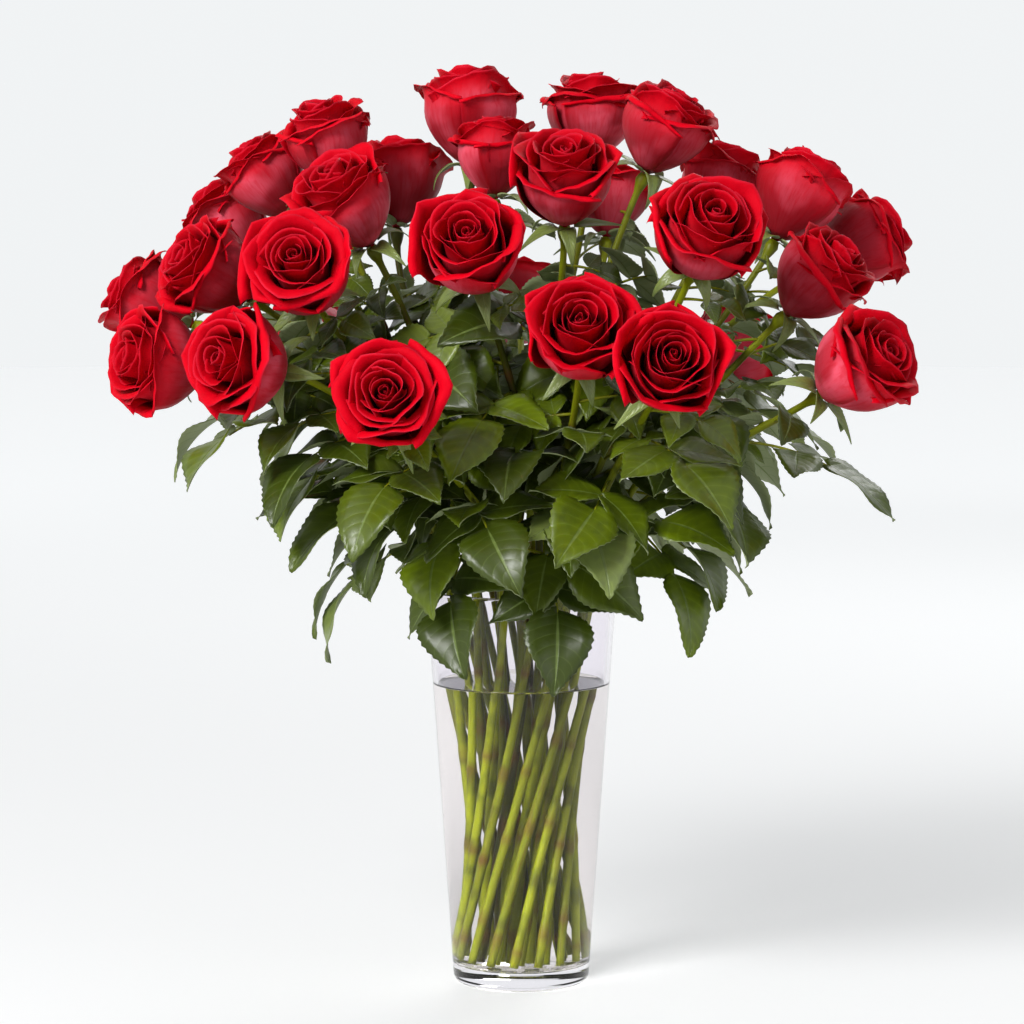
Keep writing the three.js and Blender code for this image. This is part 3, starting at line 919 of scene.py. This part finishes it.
class ROSES_OT_foliage(bpy.types.Operator):
    """Make every stem with its leaves and sepals"""

    bl_idname = "roses.foliage"
    bl_label = "Stems and leaves"

    def execute(self, context):
        settings = context.scene.rose_foliage
        leaf, stem_skin = leaf_finish(settings), stem_finish(settings)
        for number, rose in enumerate(ROSES):
            rng = np.random.default_rng(FOLIAGE_SEED + number)
            stem = Stem(rose)
            canes, blades = Stock(), Stock()
            add_stem(canes, stem, settings, rng)
            leaves = leaves_of(rose, number, stem)
            leaves += further_leaves(stem, rng)
            for each in leaves:
                add_leaf(blades, canes, each, rng, settings.blade)
            sepals = sepal_grid(settings, rng) @ across(stem.axis).T + stem.base
            closed_sheets(
                blades, sepals[:, :, ::-1], settings.blade, tone=rng.uniform(0.5, 1), pale=0.35)
            canes.make(f"{rose}_cane", stem_skin, "stem_and_leaf", f"{rose}_stem")
            blades.make(f"{rose}_leaves", leaf, "stem_and_leaf", f"{rose}_stem")
        return {"FINISHED"}


# ------------------------ vase and water


class RoseVaseSettings(bpy.types.PropertyGroup):
    wall: length(0.0035, "Wall", "Thickness of the vase's wall")
    floor: length(0.012, "Floor", "Thickness of the vase's floor")
    edge: length(0.005, "Foot edge", "Rounding of the foot's edge")
    tint: colour((0.93, 0.908, 0.945), "Glass tint", "Colour that the glass gives to light")
    water: colour((0.975, 0.97, 0.90), "Water tint", "Colour that the water gives to light")


def clear_finish(name, tint, ior, mirror):
    """A clear finish; mirror scales how strongly a face seen straight on reflects."""
    finish = Finish(
        name, Roughness=0.0, IOR=ior, Transmission_Weight=1.0,
        Specular_Tint=(mirror, mirror, mirror, 1))
    finish.shader.inputs["Base Color"].default_value = (*tint, 1)
    return finish.material


def vase_radii():
    """(height, radius at the rim, radius at the foot) of the frame's vase: the foot's is
    read where its edge has ended, and carried down the straight side."""
    places = corners("vase")
    out = np.hypot(places[:, 0], places[:, 1])
    height = places[:, 2].max()
    rim = out.max()
    edge = places[:, 2] < 0.2 * height
    side = out[edge].max()
    level = places[edge, 2][np.argmax(out[edge])]
    lip = places[np.argmax(out), 2]
    return height, rim, side - (rim - side) * level / (lip - level)


class ROSES_OT_vase(bpy.types.Operator):
    """Make the glass vase and the water in it"""

    bl_idname = "roses.vase"
    bl_label = "Vase and water"

    def execute(self, context):
        settings = context.scene.rose_vase
        height, rim, foot = vase_radii()
        wall, floor, edge = settings.wall, settings.floor, settings.edge

        def outer(level):
            return mix(foot, rim, level / height)

        lip = wall * 0.46
        inside = edge * 1.2
        outline = np.concatenate([
            [[0, 0.0008], [foot * 0.8, 0.0006], [foot * 0.86, 0]],
            fillet((0, 0), (foot, 0), (rim, height), edge),
            fillet((foot, 0), (rim, height), (rim - wall, height), lip),
            fillet((rim, height), (rim - wall, height), (foot - wall, 0), lip),
            fillet((rim - wall, height), (outer(floor) - wall, floor), (0, floor), inside),
            [[0, floor + 0.0012]],
        ])
        glass = Stock()
        turned(glass, dense(outline), VASE_SIDES)
        finish = clear_finish("clear glass", settings.tint, 1.5, 0.3)
        vase = glass.make("glass_vase", finish, "glass", "vase")

        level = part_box("water")[1][2]
        lap = 0.1 * MM
        reach = outer(level) - wall + lap
        meniscus = [
            (reach - 0.0035 * share, level + 0.0014 * (1 - share) ** 2.2)
            for share in np.linspace(0, 1, 7)
        ]
        bottom = floor - lap
        water_line = np.concatenate([
            [[0, bottom + 0.0012]],
            fillet((0, bottom), (outer(bottom) - wall + lap, bottom), (reach, level), inside),
            meniscus,
            [[0, level]],
        ])
        water = Stock()
        turned(water, dense(water_line), VASE_SIDES)
        finish = clear_finish("still water", settings.water, 1.333, 0.05)
        inside = water.make("vase_water", finish, "water", "water")
        vase.visible_shadow = inside.visible_shadow = False
        return {"FINISHED"}


# ------------------------ stage


class RoseStageSettings(bpy.types.PropertyGroup):
    floor: colour((0.54, 0.54, 0.54), "Floor", "Colour of the floor")
    wall: colour((0.86, 0.88, 0.89), "Backdrop", "Colour of the backdrop far behind")
    distance: length(2.5, "Distance", "From the camera to the vase's axis")
    camera_height: length(0.5495, "Camera height", "Height of the camera")
    look_height: length(0.3075, "Look height", "Height that the camera looks at")
    camera_aside: length(0.006, "Camera aside", "How far the camera stands to the left")
    room: length(7.0, "Room", "Radius of the floor and the backdrop")
    lens: bpy.props.FloatProperty(
        name="Lens", description="Focal length on a 36 mm sensor", default=136.3, unit="CAMERA")


def aimed(place, target):
    """The pose of a camera or lamp that stands at a place, level, and looks at a target."""
    place, target = np.array(place, dtype=float), np.array(target, dtype=float)
    turn = across(unit(place - target))
    return Matrix([[*turn[row], place[row]] for row in range(3)] + [[0, 0, 0, 1]])


def area_light(name, place, target, size, power):
    """A soft square lamp at a place, turned towards a target."""
    lamp = bpy.data.lights.new(name, "AREA")
    lamp.size, lamp.energy = size, power
    item = bpy.data.objects.new(name, lamp)
    item.matrix_world = aimed(place, target)
    bpy.context.scene.collection.objects.link(item)


def glowing_finish(name, **constants):
    """A matt finish that gives off its Emission Color as it is."""
    return Finish(
        name, Roughness=0.6, Specular_IOR_Level=0.25, Emission_Strength=1, **constants)


def floor_finish(settings):
    """A pale floor that glows more towards the backdrop, which makes the line between
    the two fainter, and less near the vase, where the lamps shape the light."""
    finish = glowing_finish("floor", Base_Color=(*settings.floor, 1))
    away = finish.node(
        "ShaderNodeVectorMath", {"operation": "LENGTH"}, {0: finish.place()}, "Value")
    near, far = (tuple(c * share for c in settings.wall) for share in FLOOR_GLOW)
    finish.feed("Emission Color", finish.colours(near, far, away.ramp(*GLOW_REACH)))
    return finish.material


def backdrop_finish(settings):
    """A backdrop that glows in the wall's colour and takes almost nothing from the lamps."""
    return glowing_finish(
        "backdrop", Base_Color=(0, 0, 0, 1), Emission_Color=(*settings.wall, 1)).material


def room_part(name, profile, material):
    """Adds the floor or the backdrop: a profile of (radius, height) points turned about
    the Z axis. Its first point lies on the axis, where a fan of triangles closes it."""
    turn = np.linspace(0, 2 * math.pi, ROOM_SIDES, endpoint=False)
    profile = np.array(profile)[:, :, None]
    rings = np.stack([
        profile[1:, 0] * np.cos(turn), profile[1:, 0] * np.sin(turn),
        profile[1:, 1] + 0 * turn], axis=-1)
    rows = len(rings)
    edge = np.arange(ROOM_SIDES)
    pole = np.full(ROOM_SIDES, rows * ROOM_SIDES)
    fan = np.stack([edge, (edge + 1) % ROOM_SIDES, pole], axis=1)
    faces = ring_faces(rows, ROOM_SIDES)[:, ::-1].tolist() + fan.tolist()
    mesh = bpy.data.meshes.new(name)
    mesh.from_pydata(np.vstack([rings.reshape(-1, 3), [[0, 0, profile[0, 1, 0]]]]), [], faces)
    mesh.materials.append(material)
    item = bpy.data.objects.new(name, mesh)
    bpy.context.scene.collection.objects.link(item)
    return item


class ROSES_OT_stage(bpy.types.Operator):
    """Make the floor, the backdrop, the lights and the camera"""

    bl_idname = "roses.stage"
    bl_label = "Stage"

    def execute(self, context):
        scene = context.scene
        settings = scene.rose_stage
        radius = settings.room
        room_part("floor", [[0, 0], *[[radius * r, 0] for r in (0.1, 0.3, 0.6, 1)]],
                  floor_finish(settings))
        side = radius * 0.98
        backdrop = room_part(
            "backdrop", [[0, 9], [side, 9], [side, 3], [side, -0.1]], backdrop_finish(settings))
        # It is seen directly, in reflections and through the glass, but casts no diffuse light.
        backdrop.visible_diffuse = backdrop.visible_shadow = False
        for name, place, size, power in LAMPS:
            area_light(name, place, LAMP_TARGET, size, power)
        world = bpy.data.worlds.new("studio")
        world.use_nodes = True
        background = world.node_tree.nodes["Background"]
        background.inputs["Color"].default_value = (0.97, 0.985, 1, 1)
        background.inputs["Strength"].default_value = 0.36
        scene.world = world
        scene.view_settings.view_transform = "Standard"

        camera = bpy.data.cameras.new("camera")
        camera.lens, camera.sensor_width = settings.lens, 36
        item = bpy.data.objects.new("camera", camera)
        aside = -settings.camera_aside
        item.matrix_world = aimed(
            (aside, -settings.distance, settings.camera_height), (aside, 0, settings.look_height))
        scene.collection.objects.link(item)
        scene.camera = item
        return {"FINISHED"}


# ------------------------ panel and add-on


class ROSES_PT_panel(bpy.types.Panel):
    """The roses' operators, in the order in which they are used"""

    bl_idname = "ROSES_PT_panel"
    bl_label = "Roses in a Vase"
    bl_space_type = "VIEW_3D"
    bl_region_type = "UI"
    bl_category = "Roses"

    def draw(self, context):
        for operator in OPERATORS:
            self.layout.operator(operator.bl_idname)


OPERATORS = (ROSES_OT_stage, ROSES_OT_vase, ROSES_OT_foliage, ROSES_OT_blooms)
SETTINGS = {
    "rose_blooms": RoseBloomSettings,
    "rose_foliage": RoseFoliageSettings,
    "rose_vase": RoseVaseSettings,
    "rose_stage": RoseStageSettings,
}


def register():
    for item in (*SETTINGS.values(), *OPERATORS, ROSES_PT_panel):
        bpy.utils.register_class(item)
    for name, group in SETTINGS.items():
        setattr(bpy.types.Scene, name, bpy.props.PointerProperty(type=group))


def unregister():
    for name in SETTINGS:
        delattr(bpy.types.Scene, name)
    for item in (ROSES_PT_panel, *reversed(OPERATORS), *SETTINGS.values()):
        bpy.utils.unregister_class(item)


def main():
    register()
    bpy.ops.roses.stage()
    bpy.ops.roses.vase()
    bpy.ops.roses.foliage()
    bpy.ops.roses.blooms()


if __name__ == "__main__":
    main()
